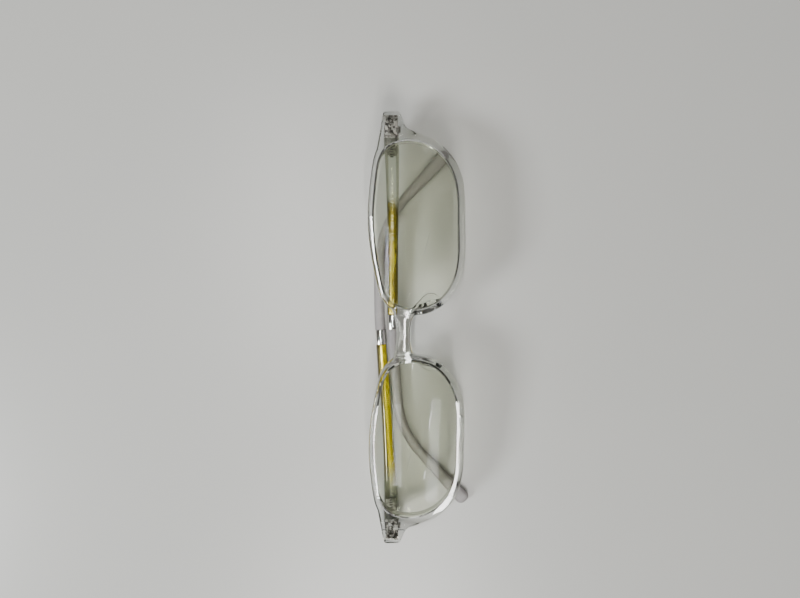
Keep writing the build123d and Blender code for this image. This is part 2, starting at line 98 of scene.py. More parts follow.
# %% Camera
camera_from = (28.4, 5.1, 221.6)
camera_look = (-0.0767, 0.0, -0.997)
sensor_width = 36.0
focal_length = 32.4
camera = bpy.data.objects.new("camera", bpy.data.cameras.new("camera"))
camera.data.sensor_width = sensor_width
camera.data.lens = focal_length
camera.data.clip_start = 10 * MM
look = laid_direction(camera_look)
right = laid_direction((0, -1, 0))
camera.matrix_world = stand(Vector(laid(camera_from)), right, right.cross(look), -look)
bpy.context.scene.collection.objects.link(camera)
bpy.context.scene.camera = camera
print("camera", [round(x / MM, 1) for x in camera.matrix_world.translation], "mm")

# %% [markdown]
# ## Helpers for meshes
# Each piece is a plain mesh with its place in its vertices. Rings of points joined by quads make clean,
# closed skins, and sharp edges are marked by angle, so that rounds are smooth and edges crisp.

# %% Mesh helpers
SHARP = radians(35)
SAME_POINT = 1e-7           # points of a new mesh this near are one, in metres
SAME_PACKED_POINT = 2e-6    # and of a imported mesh
SHORTEST_EDGE = 1e-6


def close_skin(mesh):
    """Merges points that coincide and turns all normals outwards."""
    shell = bmesh.new()
    shell.from_mesh(mesh)
    bmesh.ops.remove_doubles(shell, verts=shell.verts, dist=SAME_POINT)
    bmesh.ops.recalc_face_normals(shell, faces=shell.faces)
    shell.to_mesh(mesh)
    shell.free()


def mesh_object(name, vertices, faces, material, sharp=SHARP):
    """A mesh piece at the origin, smooth except at its sharp edges, with its normals outwards."""
    mesh = bpy.data.meshes.new(name)
    mesh.from_pydata([tuple(v) for v in vertices], [], faces)
    close_skin(mesh)
    return finish_mesh(name, mesh, material, sharp)


def finish_mesh(name, mesh, material, sharp=SHARP):
    """An object for a finished mesh, with one material and its sharp edges marked."""
    mesh.materials.clear()
    mesh.materials.append(material)
    mesh.shade_smooth()
    mesh.set_sharp_from_angle(angle=sharp)
    piece = bpy.data.objects.new(name, mesh)
    bpy.context.scene.collection.objects.link(piece)
    return piece


def skin(name, rings, material, sharp=SHARP):
    """A piece made of a skin over rings of equally many points, with both ends closed to a pole."""
    count = len(rings[0])
    vertices = [point for ring in rings for point in ring]
    faces = []
    for row in range(len(rings) - 1):
        for i in range(count):
            j = (i + 1) % count
            faces.append((row * count + i, row * count + j, (row + 1) * count + j, (row + 1) * count + i))
    for row in (0, len(rings) - 1):
        vertices.append(np.mean(rings[row], axis=0))
        pole = len(vertices) - 1
        faces += [(row * count + i, row * count + (i + 1) % count, pole) for i in range(count)]
    return mesh_object(name, vertices, faces, material, sharp)


def bake(piece, modifier):
    """Makes the result of a modifier the piece's own mesh."""
    evaluated = piece.evaluated_get(bpy.context.evaluated_depsgraph_get())
    mesh = bpy.data.meshes.new_from_object(evaluated)
    piece.modifiers.remove(modifier)
    piece.data = mesh


def flatten_flats(piece):
    """Gives big flat faces the say over the normals at their edges, so that they mirror as flats."""
    modifier = piece.modifiers.new("flats", "WEIGHTED_NORMAL")
    modifier.keep_sharp = True
    bake(piece, modifier)
    return piece


def join_solid(piece, other, sharp):
    """Makes one skin of two solids that overlap, so that no wall is left between them."""
    modifier = piece.modifiers.new("join", "BOOLEAN")
    modifier.operation = "UNION"
    modifier.solver = "EXACT"
    modifier.object = other
    bake(piece, modifier)
    bpy.data.objects.remove(other)
    piece.data.set_sharp_from_angle(angle=sharp)


def merged_copy(node, name, material, sharp=SHARP, grow=0.0):
    """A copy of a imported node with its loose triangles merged, and grown by some mm if asked."""
    mesh = frame["nodes"][node].data.copy()
    shell = bmesh.new()
    shell.from_mesh(mesh)
    bmesh.ops.remove_doubles(shell, verts=shell.verts, dist=SAME_PACKED_POINT)
    bmesh.ops.dissolve_degenerate(shell, edges=shell.edges, dist=SHORTEST_EDGE)
    if grow:
        shell.normal_update()
        for vertex in shell.verts:
            vertex.co += vertex.normal * grow * MM
    shell.to_mesh(mesh)
    shell.free()
    return flatten_flats(finish_mesh(name, mesh, material, sharp))


def settle(piece, body, slot, *nodes):
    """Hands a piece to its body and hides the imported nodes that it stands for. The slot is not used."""
    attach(piece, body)
    if nodes:
        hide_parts(*nodes)
    print(piece.name, "has", len(piece.data.polygons), "faces on", body)


# %% [markdown]
# ## Helpers for materials
# A pattern is arithmetic on places. One small class wraps a socket, so that the arithmetic reads as Python.
# Everything reads Object coordinates or a piece's own UV map, so patterns stay on the piece when it moves.

# %% Shader helpers
class Number:
    """A socket that holds a number: arithmetic on it adds Math nodes."""

    def __init__(self, sheet, socket):
        self.sheet = sheet
        self.socket = socket

    def do(self, operation, *others):
        return self.sheet.node("ShaderNodeMath", {"operation": operation}, dict(enumerate((self, *others))))

    def __add__(self, other):
        return self.do("ADD", other)

    def __sub__(self, other):
        return self.do("SUBTRACT", other)

    def __rsub__(self, other):
        return self * -1.0 + other

    def __mul__(self, other):
        return self.do("MULTIPLY", other)

    def __abs__(self):
        return self.do("ABSOLUTE")

    def between(self, low, high):
        """0 at low and 1 at high, with soft ends. High may be the smaller one."""
        inputs = {"Value": self, 1: low, 2: high}
        if low > high:
            inputs = {"Value": self, 1: high, 2: low, 3: 1.0, 4: 0.0}
        return self.sheet.node("ShaderNodeMapRange", {"interpolation_type": "SMOOTHSTEP"}, inputs)


class Sheet:
    """A material and its node tree."""

    def __init__(self, name):
        self.material = bpy.data.materials.new(name)
        self.material.use_nodes = True
        self.tree = self.material.node_tree
        self.tree.nodes.clear()
        self.object_place = self.node("ShaderNodeTexCoord", {}, {}, "Object")

    def node(self, kind, settings, inputs, output=0):
        """Adds a node: its settings first, then the value or link of each input. Gives one output."""
        made = self.tree.nodes.new(kind)
        for name, value in settings.items():
            setattr(made, name, value)
        for name, value in inputs.items():
            if isinstance(value, Number):
                self.tree.links.new(value.socket, made.inputs[name])
            else:
                made.inputs[name].default_value = value
        return Number(self, made.outputs[output])

    def parts(self, vector):
        """The three parts of a vector, each a number."""
        made = self.tree.nodes.new("ShaderNodeSeparateXYZ")
        self.tree.links.new(vector.socket, made.inputs[0])
        return [Number(self, output) for output in made.outputs]

    def axes(self):
        """The three parts of the place on the object, each a number, in mm."""
        inputs = {0: self.object_place, 3: 1 / MM}
        return self.parts(self.node("ShaderNodeVectorMath", {"operation": "SCALE"}, inputs))

    def in_steps(self, size, stretch=(1, 1, 1)):
        """The place on the object, counted in steps of this size in mm, longer along an axis if asked."""
        inputs = {0: self.object_place, 1: tuple(1 / MM / size / s for s in stretch)}
        return self.node("ShaderNodeVectorMath", {"operation": "MULTIPLY"}, inputs)

    def noise(self, size, detail=2.0, stretch=(1, 1, 1), roughness=0.5):
        """Cloudy noise with features of about this size, in mm, stretched along the axes if asked."""
        place = self.in_steps(size, stretch)
        inputs = {"Vector": place, "Scale": 1.0, "Detail": detail, "Roughness": roughness}
        return self.node("ShaderNodeTexNoise", {}, inputs)

    def blend(self, factor, first, second):
        """A colour between two, which may each be made by nodes."""
        first, second = ((*c, 1) if isinstance(c, tuple) else c for c in (first, second))
        return self.node("ShaderNodeMix", {"data_type": "RGBA"}, {0: factor, 6: first, 7: second}, 2)

    def bump(self, height, depth):
        """A normal from a height map of 0 to 1 that stands for this depth in mm."""
        inputs = {"Height": height, "Distance": depth * MM, "Strength": 1.0}
        return self.node("ShaderNodeBump", {}, inputs)

    def principled(self, **inputs):
        """A Principled shader: sockets by name, with _ for a space."""
        named = {name.replace("_", " "): value for name, value in inputs.items()}
        for name in ("Base Color", "Specular Tint"):
            if isinstance(named.get(name), tuple):
                named[name] = (*named[name], 1)
        return self.node("ShaderNodeBsdfPrincipled", {}, named)

    def mix(self, factor, first, second):
        """A mix of two shaders."""
        return self.node("ShaderNodeMixShader", {}, {0: factor, 1: first, 2: second})

    def done(self, shader):
        """The material, with this shader on its surface."""
        out = self.tree.nodes.new("ShaderNodeOutputMaterial")
        self.tree.links.new(shader.socket, out.inputs["Surface"])
        return self.material


def plain_paint(name, colour, roughness):
    """One even dull colour."""
    sheet = Sheet(name)
    return sheet.done(sheet.principled(Base_Color=colour, Roughness=roughness))


# %% [markdown]
# ## Clear plastic
# The front and the pads are clear moulded plastic. The polish of old frames has fine scuffs, so roughness
# rises in patches. The surface is slightly uneven, so a faint long-wave bump bends the reflections and breaks
# long highlights.

# %% Clear plastic
CLEAR_IOR = 1.49
FRONT_TINT = (0.965, 0.975, 0.955)
FRONT_SWELL = 0.02      # depth of the unevenness of the front, in mm
TEMPLE_SWELL = 0.004    # and of a temple


def clear_shader(sheet, tint, swell_depth):
    """Clear scuffed plastic, as a shader. Its surface swells by this depth in mm."""
    scuff = sheet.noise(0.9, detail=4.0, stretch=(3, 1, 1), roughness=0.65).between(0.56, 0.78)
    swell = sheet.noise(6.0, detail=1.0)
    return sheet.principled(
        Base_Color=tint,
        Roughness=scuff * 0.10 + 0.015,
        IOR=CLEAR_IOR,
        Transmission_Weight=1.0,
        Normal=sheet.bump(swell, swell_depth),
    )


front_sheet = Sheet("clear_plastic")
clear = front_sheet.done(clear_shader(front_sheet, FRONT_TINT, FRONT_SWELL))
print("made", clear.name)

# %% [markdown]
# ## Lens plastic
# A coated lens has a faint yellow-green cast and hardly mirrors, so its specular tint is low. Its front
# carries fine scratches and a few wipe marks, which show as pale lines. The lens's UV map holds places on the
# front, so each scratch is a line between two places, fading at its ends, that mixes in a frosted shader.

# %% Lens plastic
UV_SPAN = 100.0     # mm for one unit of the lens's UV map
LENS_TINT = (0.965, 0.985, 0.86)
COATED = (0.05, 0.055, 0.06)
FROST = (1.0, 1.0, 0.98)


def line_mask(across_x, across_y, start, end, width):
    """1 on a fine line between two places, fading over its width and at both ends."""
    run = np.subtract(end, start)
    length = float(np.hypot(*run))
    way = run / length
    from_x = across_x - start[0]
    from_y = across_y - start[1]
    along = from_x * float(way[0]) + from_y * float(way[1])
    aside = abs(from_y * float(way[0]) - from_x * float(way[1]))
    line = aside.between(width, width * 0.3)
    return line * along.between(0, length * 0.3) * along.between(length, length * 0.6)


def lens_plastic(name, scratches):
    """Tinted clear lens plastic. Each scratch is a start, an end, a width and a strength."""
    sheet = Sheet(name)
    uv = sheet.node("ShaderNodeUVMap", {"uv_map": "lens"}, {})
    across_x, across_y = (part * UV_SPAN for part in sheet.parts(uv)[:2])
    marks = sheet.noise(0.35, detail=2.0, stretch=(14, 1, 1)).between(0.70, 0.80) * 0.06
    for start, end, width, strength in scratches:
        marks = marks + line_mask(across_x, across_y, start, end, width) * strength
    smudge = sheet.noise(7.0, detail=3.0).between(0.5, 0.8)
    glass = sheet.principled(
        Base_Color=LENS_TINT,
        Roughness=smudge * 0.02,
        IOR=1.5,
        Specular_Tint=COATED,
        Transmission_Weight=1.0,
    )
    frost = sheet.principled(Base_Color=FROST, Roughness=0.5)
    return sheet.done(sheet.mix(marks.do("MINIMUM", 1.0), glass, frost))


print("lens plastic is ready")

# %% [markdown]
# ## Temple plastic
# Each temple is clear at the hinge and turns into a metallic yellow towards the tip. The colour is a coat
# that fades in, as fine speckles where it has worn. A mix between the clear shader and the yellow one does
# this: its factor grows along the temple and is broken up by fine noise. Two dark bands along the edges are
# painted shade: they stand in for the dark that the bar's rounded edges show in this light.

# %% Temple plastic
# Painted shade: darker colours for the edges of the bar, of the yellow coat and of the clear plastic
YELLOW_PAINTED_SHADE = (0.10, 0.08, 0.015)         # of the yellow coat
CLEAR_TINT = (0.93, 0.95, 0.88)
CLEAR_PAINTED_SHADE = (0.30, 0.30, 0.22)


def temple_plastic(name, side, fade, shade_low, shade_high, tones):
    """Clear plastic with a yellow coat that fades in along the temple, and edges darkened as painted shade.
    Ranges in mm.
    """
    sheet = Sheet(name)
    start = laid(temple_start[side]) / MM
    from_start = [axis - float(at) for axis, at in zip(sheet.axes(), start)]
    along, across = (
        from_start[0] * way.x + from_start[1] * way.y + from_start[2] * way.z for way in temple_axes[side]
    )
    cover = along.between(*fade)
    speckle = sheet.noise(0.3, detail=3.0, stretch=(2, 1, 1), roughness=0.7).between(0.36, 0.64)
    worn = sheet.noise(2.2, detail=3.0, stretch=(4, 1, 1)).between(0.3, 0.7)
    coat = (cover * 1.7 + speckle * 0.5 + worn * 0.25 - 0.75).between(0.0, 0.95)
    cloud = sheet.noise(3.0, detail=3.0, stretch=(6, 1, 1))
    bright = sheet.blend(cloud.between(0.35, 0.7), *tones)
    # Painted shade: the colour darkens towards the edges across the bar
    edge = across.between(*shade_low).do("MAXIMUM", across.between(*shade_high))
    yellow = sheet.principled(
        Base_Color=sheet.blend(edge, bright, YELLOW_PAINTED_SHADE),
        Metallic=0.7,
        Roughness=cloud * 0.10 + 0.22,
        Coat_Weight=1.0,
        Coat_Roughness=0.03,
        Coat_IOR=CLEAR_IOR,
    )
    tint = sheet.blend(edge, CLEAR_TINT, CLEAR_PAINTED_SHADE)
    return sheet.done(sheet.mix(coat, clear_shader(sheet, tint, TEMPLE_SWELL), yellow))


print("temple plastic is ready")

# %% [markdown]
# ## Metals and rubber
# The ferrules are polished and reflect the room, with fingerprints that dull them in places. The hinge parts
# are dull steel with dirt in the low places. The knurled plates in the lugs break up into small bright and
# dark facets, which are painted glints and painted shade, the plates in the temples are paler, and the gaps
# between their ribs are nearly black, as painted shade. The tips are satin grey rubber with a fine grain and
# rubbed spots.

# %% Ferrule metal, hinge steel and tip rubber
FACET_SIZE = 0.75    # of the facets of the knurled plates, in mm
FACET_GLINT = (0.75, 0.74, 0.68)
# For each steel: its clean colour, the colour of its dirt, how strongly painted facet glints show and how
# metallic it is
STEELS = {
    "hinge_steel": ((0.34, 0.32, 0.29), (0.035, 0.03, 0.025), 0.0, 1.0),
    # Painted glints and painted shade: the knurled plates' dark base with bright facets
    "knurled_steel_and_painted_glints": ((0.20, 0.19, 0.17), (0.03, 0.027, 0.022), 0.75, 1.0),
    "plate_steel": ((0.26, 0.26, 0.23), (0.12, 0.115, 0.10), 0.0, 1.0),
    # Painted shade for the gaps between the ribs of the temples' butts
    "gap_shade_black": ((0.03, 0.03, 0.028), (0.008, 0.008, 0.008), 0.0, 0.0),
}


def ferrule_metal():
    sheet = Sheet("bright_metal")
    print_marks = sheet.noise(1.2, detail=4.0).between(0.5, 0.75)
    brushed = sheet.noise(0.12, detail=2.0, stretch=(1, 8, 8))
    shader = sheet.principled(
        Base_Color=sheet.blend(print_marks, (0.90, 0.89, 0.86), (0.72, 0.70, 0.66)),
        Metallic=1.0,
        Roughness=print_marks * 0.12 + 0.07,
        Normal=sheet.bump(brushed, 0.002),
    )
    return sheet.done(shader)


def hinge_steel(name, bright, dark, glint_strength, metal):
    """Steel with dirt in its low places. Painted glints break it into small facets of different brightness.
    """
    sheet = Sheet(name)
    dirt = sheet.noise(0.7, detail=4.0, roughness=0.7).between(0.42, 0.62)
    inputs = {"Vector": sheet.in_steps(FACET_SIZE), "Scale": 1.0}
    # Painted glints: some cells are lightened towards a pale colour
    cells = sheet.node("ShaderNodeTexVoronoi", {"distance": "CHEBYCHEV"}, inputs, 1)
    lit = sheet.node("ShaderNodeSeparateColor", {}, {"Color": cells}).between(0.35, 0.75) * glint_strength
    shader = sheet.principled(
        Base_Color=sheet.blend(lit, sheet.blend(dirt, bright, dark), FACET_GLINT),
        Metallic=(1.0 - dirt * 0.6) * metal,
        Roughness=dirt * 0.30 + 0.30,
        Normal=sheet.bump(sheet.noise(0.25, detail=3.0), 0.02),
    )
    return sheet.done(shader)


def tip_rubber():
    sheet = Sheet("tip_rubber")
    grain = sheet.noise(0.18, detail=3.0)
    rubbed = sheet.noise(3.5, detail=4.0, roughness=0.6).between(0.52, 0.72)
    shader = sheet.principled(
        Base_Color=sheet.blend(rubbed, (0.28, 0.265, 0.265), (0.34, 0.325, 0.32)),
        Roughness=0.46 - rubbed * 0.10,
        Normal=sheet.bump(grain, 0.012),
    )
    return sheet.done(shader)


bright_metal = ferrule_metal()
steels = {name: hinge_steel(name, *look) for name, look in STEELS.items()}
rubber = tip_rubber()
print("made", bright_metal.name, *steels, rubber.name)

# %% [markdown]
# ## The front
# The front is one moulding: two rims, the bridge, two lugs and the two nose fins, with a crack through most
# of the lower right rim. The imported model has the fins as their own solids, and in clear plastic the walls
# that touch would show. So copies of the three are joined into one skin, with smooth rounds and true flats.

# %% Front and nose fins
PAD_GROWTH = 0.03           # in mm, so that the fins overlap the rims
front_sharp = radians(28)
front = merged_copy("front_frame", "front_moulding", clear, front_sharp)
for name in SIDES.values():
    pad = merged_copy(name + "_nose_pad", name + "_pad_fin", clear, front_sharp, grow=PAD_GROWTH)
    join_solid(front, pad, front_sharp)
flatten_flats(front)
settle(front, "front", "clear_plastic", "front_frame", "left_nose_pad", "right_nose_pad")

# %% [markdown]
# ## Lenses
# A lens is a slice between two spheres, cut to the opening, with a ridge round its edge that clicks into the
# rim. Rings of quads from the middle outwards follow both spheres exactly, which keeps the view through the
# lens free of ripples. The outline is a periodic cubic spline through a few points.

# %% Lens outline
LENS_SHAPE = np.array([
    (-1.000, 0.125), (-0.925, -0.470), (-0.698, -0.845), (0.000, -1.000),
    (0.617, -0.880), (0.898, -0.470), (1.000, 0.310), (0.905, 0.715),
    (0.560, 0.935), (0.000, 1.000), (-0.594, 0.846), (-0.890, 0.630),
])
lens_width = 52.0
lens_height = 26.0
lens_rise = 0.2
lens_middle = 17.0 / 2 + lens_width / 2     # half the bridge and half a lens
front_radius = 320.0
OUTLINE_POINTS = 288


def closed_curve(points, count):
    """A smooth closed curve through points: a periodic cubic spline over the distance between them."""
    total = len(points)
    step = np.linalg.norm(np.roll(points, -1, axis=0) - points, axis=1)
    rise = (np.roll(points, -1, axis=0) - points) / step[:, None]
    system = np.zeros((total, total))
    pull = 6 * (rise - np.roll(rise, 1, axis=0))
    for i in range(total):
        system[i, i - 1] += step[i - 1]
        system[i, i] += 2 * (step[i - 1] + step[i])
        system[i, (i + 1) % total] += step[i]
    bend = np.linalg.solve(system, pull)
    knots = np.concatenate(([0.0], np.cumsum(step)))
    drawn = []
    for place in np.linspace(0, knots[-1], count, endpoint=False):
        i = min(int(np.searchsorted(knots, place, side="right")) - 1, total - 1)
        j = (i + 1) % total
        h = step[i]
        a = (knots[i + 1] - place) / h
        b = 1 - a
        curve = a * points[i] + b * points[j]
        curve = curve + ((a**3 - a) * bend[i] + (b**3 - b) * bend[j]) * h * h / 6
        drawn.append(curve)
    return np.array(drawn)


def lens_outline(side, grow):
    """The lens outline about its middle, in mm."""
    half = np.array([side * (lens_width / 2 + grow), lens_height / 2 + grow])
    return closed_curve(LENS_SHAPE * half, OUTLINE_POINTS)


# %% Lens blanks
lens_front_radius = 265.0
lens_back_radius = 88.0
lens_thickness = 1.6
lens_set_back = 0.7         # the lens's middle behind the front of the rim
lens_decentre = 3.5         # its optical middle, towards the nose
lens_clearance = 0.04       # round the lens in its rim
ridge_depth = 2.45
ridge_half_width = 0.5
ridge_height = 0.55
RIDGE_DROPS = (0.02, 0.25, 0.45)    # how far the ridge's rings stay behind the edge of the front, at least
LENS_RINGS = 26
lens_sharp = radians(25)
FACING_FRONT = 0.3          # faces that look more than this share to the front are the front's own
BACK_UV_OFFSET = 3.0        # the others lie this far off in the UV map, where there is no scratch


def lens_ring(flat, side, radius, peak):
    """Places on the lens with their depth on a sphere, whose highest point is at this peak."""
    from_peak = flat + np.array([side * lens_decentre, 0])
    depth = peak - radius + np.sqrt(radius**2 - (from_peak**2).sum(axis=1))
    return np.column_stack((flat, depth))


def make_lens(side, material):
    """One lens with a domed front, a hollow back and a ridge round its edge."""
    edge = lens_outline(side, -lens_clearance)
    back_peak = -lens_set_back - lens_thickness
    shares = np.linspace(0.0, 1.0, LENS_RINGS)[1:]
    rings = [lens_ring(edge * share, side, lens_front_radius, -lens_set_back) for share in shares]
    front_depth = rings[-1][:, 2]
    ridge = (
        (-lens_clearance, -ridge_depth + ridge_half_width),
        (ridge_height, -ridge_depth),
        (-lens_clearance, -ridge_depth - ridge_half_width),
    )
    for (grow, depth), least_drop in zip(ridge, RIDGE_DROPS):
        ring_depth = np.minimum(depth, front_depth - least_drop)
        rings.append(np.column_stack((lens_outline(side, grow), ring_depth)))
    shares = np.linspace(1.0, 0.0, LENS_RINGS)[:-1]
    rings += [lens_ring(edge * share, side, lens_back_radius, back_peak) for share in shares]
    tilt = side * asin(lens_middle / front_radius)
    middle = np.array([side * lens_middle, lens_rise, sqrt(front_radius**2 - lens_middle**2) - front_radius])
    across = np.array([cos(tilt), 0, -sin(tilt)])
    up = np.array([0, 1, 0])
    out = np.array([sin(tilt), 0, cos(tilt)])
    placed = [laid(middle + ring @ np.array([across, up, out])) for ring in rings]
    lens = skin(SIDES[side] + "_lens_blank", placed, material, lens_sharp)
    uv = lens.data.uv_layers.new(name="lens")
    mm = (np.array([v.co for v in lens.data.vertices]) - np.array(bridge_at)) @ TURN.T / MM
    facing = laid_direction(out)
    for polygon in lens.data.polygons:
        offset = 0.0 if polygon.normal @ facing > FACING_FRONT else BACK_UV_OFFSET
        for corner in polygon.loop_indices:
            place = mm[lens.data.loops[corner].vertex_index]
            uv.data[corner].uv = (place[0] / UV_SPAN + offset, place[1] / UV_SPAN)
    return lens


# Two strong scratches on the right lens, and faint ones on both
SCRATCHES = {
    LEFT: (
        ((24.0, -2.0), (33.0, -4.5), 0.09, 0.25),
        ((41.0, 3.0), (47.5, 1.0), 0.09, 0.2),
    ),
    RIGHT: (
        ((-18.4, -5.6), (-27.0, -4.7), 0.11, 0.35),
        ((-24.0, -4.9), (-30.6, -3.9), 0.26, 1.0),
        ((-43.6, -3.1), (-47.6, -2.5), 0.26, 1.0),
        ((-38.0, 1.5), (-44.0, 3.2), 0.10, 0.3),
    ),
}
for side, scratches in SCRATCHES.items():
    lens = make_lens(side, lens_plastic(SIDES[side] + "_lens_plastic", scratches))
    settle(lens, "front", "lens_plastic", SIDES[side] + "_lens")

# %% [markdown]
# ## Temples and tips
# A temple is a bar with well rounded corners that narrows from the hinge to the ferrule. The tip goes on from
# there, bends down behind the ear and widens into a paddle. Both are a section with a size at each place of a
# path. The right temple lies skewed on its hinge and leans to the brow.

# %% The path of each temple
barrel_reach = 1.45         # from a hinge's axis to the face of its plate
butt_thickness = 3.5
temple_length = 59.0
ferrule_length = 4.9
ferrule_end = temple_length + ferrule_length
droop_at = 68.0             # the corners of the path, along the temple
droop_radius = 40.0
ear_bend_at = 98.5
ear_bend_radius = 32.0
tip_length = 33.0           # past the ear bend's corner
fold_slope = {LEFT: 1.1, RIGHT: 2.45}       # degrees
lean = {LEFT: -0.2, RIGHT: 3.5}
droop = {LEFT: 4.2, RIGHT: 2.5}
ear_bend = {LEFT: 38.3, RIGHT: 44.0}
ROUTE_STEP = 0.8


def temple_directions(side):
    """Along a folded temple, and up to the brow across it, in the drawing."""
    fall = radians(fold_slope[side])
    rise = radians(lean[side])
    along = np.array([-side * cos(fall) * cos(rise), sin(rise), -sin(fall) * cos(rise)])
    up = np.array([side * cos(fall) * sin(rise), cos(rise), sin(fall) * sin(rise)])
    return along, up


temple_start = {
    side: np.array([side * hinge_x, hinge_height, -hinge_depth - barrel_reach - butt_thickness / 2])
    for side in SIDES
}
temple_axes = {side: [laid_direction(way) for way in temple_directions(side)] for side in SIDES}


def bent_route(side):
    """Distance, place and slope along a temple: straight runs with two round bends."""
    turns = (
        (droop_at, radians(droop[side]), droop_radius),
        (ear_bend_at, radians(ear_bend[side]), ear_bend_radius),
    )
    place = np.array([0.0, 0.0])
    slope = 0.0
    done = 0.0
    pieces = []
    corner_from = 0.0
    for corner, turn, radius in turns:
        reach = radius * tan(turn / 2)
        run = corner - corner_from - done
        pieces.append((run - reach, 0.0))
        pieces.append((radius * turn, radius))
        corner_from = corner
        done = reach
    pieces.append((tip_length - done, 0.0))
    stations = [(0.0, place, slope)]
    travelled = 0.0
    for length, radius in pieces:
        count = max(2, int(length / ROUTE_STEP))
        for _ in range(count):
            step = length / count
            turn = step / radius if radius else 0.0
            middle_slope = slope + turn / 2
            chord = step if not turn else 2 * radius * sin(turn / 2)
            place = place + chord * np.array([cos(middle_slope), -sin(middle_slope)])
            slope += turn
            travelled += step
            stations.append((travelled, place, slope))
    return stations


# %% Sections
CORNER_STEPS = 8
FLAT_SHARES = np.linspace(0.0, 1.0, 9)[1:-1]
CROWN = 0.14                # the broad faces are slightly domed, so that they catch thin highlights
section_rounding = 0.42     # radius of the corners, as a share of the shorter side
LEAST_ROUNDING = 0.02


def section(height, thickness, inset=0.0):
    """Points of a rectangle with well rounded corners, drawn smaller by an inset."""
    radius = max(section_rounding * min(height, thickness) - inset, LEAST_ROUNDING)
    half_y = max(height / 2 - inset, radius)
    half_z = max(thickness / 2 - inset, radius)
    corners = [(1, 1), (-1, 1), (-1, -1), (1, -1)]
    centres = [np.array([y * (half_y - radius), z * (half_z - radius)]) for y, z in corners]
    points = []
    for quarter, centre in enumerate(centres):
        for i in range(CORNER_STEPS + 1):
            angle = pi / 2 * (quarter + i / CORNER_STEPS)
            points.append(centre + radius * np.array([cos(angle), sin(angle)]))
        flat_start = points[-1]
        flat_run = centres[(quarter + 1) % 4] - centre
        points += [flat_start + flat_run * share for share in FLAT_SHARES]
    points = np.array(points)
    points[:, 1] *= 1 - CROWN * (points[:, 0] / half_y) ** 2
    return points


def section_ring(side, place, slope, points):
    """A section set up across the path at a place, as a ring in the frame."""
    along, up = temple_directions(side)
    out = np.cross(along, up)
    across = along * sin(slope) + up * cos(slope)
    origin = temple_start[side] + along * place[0] + up * place[1]
    return laid(origin + points[:, :1] * across + points[:, 1:] * out)


# %% Temple bars
butt_height = 5.1
waist_at = 22.0
waist_height = 4.0
waist_thickness = 3.4
rear_height = 3.4
rear_thickness = 3.2
joint_gap = 0.15            # between the butt and its lug
BUTT_EDGE = ((0.0, 0.3), (0.09, 0.12), (0.3, 0.0))      # distance past the gap, and inset of the section
REAR_EDGE = ((0.12, 0.08), (0.02, 0.3))                 # distance before the end, and inset
TEMPLE_RINGS = 60
first_ring = 1.0            # the plain rings start here, and stop this far before the ferrule
last_ring = 0.35
butt_at = -1.0              # where the butt has its full height


def through_three(along, at, values):
    """A smooth value along the temple, through three stations."""
    return float(np.polyval(np.polyfit(at, values, 2), along))


def make_temple(side, material):
    """The temple from its butt at the hinge to the ferrule."""
    stations = (butt_at, waist_at, temple_length)
    rings = []
    placed = [(joint_gap + along, inset) for along, inset in BUTT_EDGE]
    placed += [(along, 0.0) for along in np.linspace(first_ring, temple_length - last_ring, TEMPLE_RINGS)]
    placed += [(temple_length - before, inset) for before, inset in REAR_EDGE]
    for along, inset in placed:
        height = through_three(along, stations, (butt_height, waist_height, rear_height))
        thickness = through_three(along, stations, (butt_thickness, waist_thickness, rear_thickness))
        rings.append(section_ring(side, (along, 0.0), 0.0, section(height, thickness, inset)))
    return skin(SIDES[side] + "_temple_bar", rings, material)


# For each side: where the coat fades in, its painted edge shade below and above the middle, and its two
# yellows
COATS = {
    # The left temple's yellows are darker than the right's as painted shade: it lies in the left lens's
    # shadow
    LEFT: ((14.0, 33.0), (-0.9, -1.7), (0.8, 1.6), ((0.30, 0.235, 0.012), (0.46, 0.37, 0.03))),
    RIGHT: ((3.0, 33.0), (-1.5, -2.0), (-0.1, 0.7), ((0.74, 0.58, 0.0), (0.88, 0.73, 0.01))),
}
for side, coat in COATS.items():
    temple = make_temple(side, temple_plastic(SIDES[side] + "_temple_plastic", side, *coat))
    settle(temple, SIDES[side] + "_arm", "temple_plastic", SIDES[side] + "_temple")

# %% Tips
tip_height = 3.3
tip_thickness = 3.1
paddle_height = 4.8
paddle_thickness = 2.8
end_rounding = 2.1
END_STEPS = 12
END_SHRINK = (0.75, 0.6)        # how the section's height and thickness fall off round the end
TIP_EDGE = ((0.01, 0.25), (0.05, 0.08), (0.2, 0.0))     # distance past the ferrule, and inset
tip_first_ring = 0.4        # plain rings start this far past the ferrule, and stop before the round end
tip_last_ring = 0.1


def make_tip(side):
    """The tip from the ferrule to its rounded end."""
    stations = bent_route(side)
    length, end, end_slope = stations[-1]
    bend_end = length - tip_length + ear_bend_radius * tan(radians(ear_bend[side] / 2))
    rings = []
    for along, inset in TIP_EDGE:
        points = section(tip_height, tip_thickness, inset)
        rings.append(section_ring(side, (ferrule_end + along, 0.0), 0.0, points))
    for travelled, place, slope in stations:
        if travelled < ferrule_end + tip_first_ring or travelled > length - end_rounding - tip_last_ring:
            continue
        share = min(max((travelled - bend_end) / (length - bend_end), 0.0), 1.0)
        height = tip_height + (paddle_height - tip_height) * share
        thickness = tip_thickness + (paddle_thickness - tip_thickness) * share
        rings.append(section_ring(side, place, slope, section(height, thickness)))
    way = np.array([cos(end_slope), -sin(end_slope)])
    for i in range(1, END_STEPS):
        angle = pi / 2 * i / END_STEPS
        back = end_rounding * (1 - sin(angle))
        points = section(paddle_height, paddle_thickness) * [cos(angle) ** power for power in END_SHRINK]
        rings.append(section_ring(side, end - way * back, end_slope, points))
    return skin(SIDES[side] + "_tip_sleeve", rings, rubber)


for side, name in SIDES.items():
    settle(make_tip(side), name + "_arm", "tip_rubber", name + "_temple_tip")

# %% [markdown]
# ## Ferrules
# A ferrule is a turned ring, so it follows a rule: a profile carried round a circle. Curve to Mesh does this
# in Geometry Nodes, and the inputs name the sizes. The result becomes a plain mesh on the temple's line.

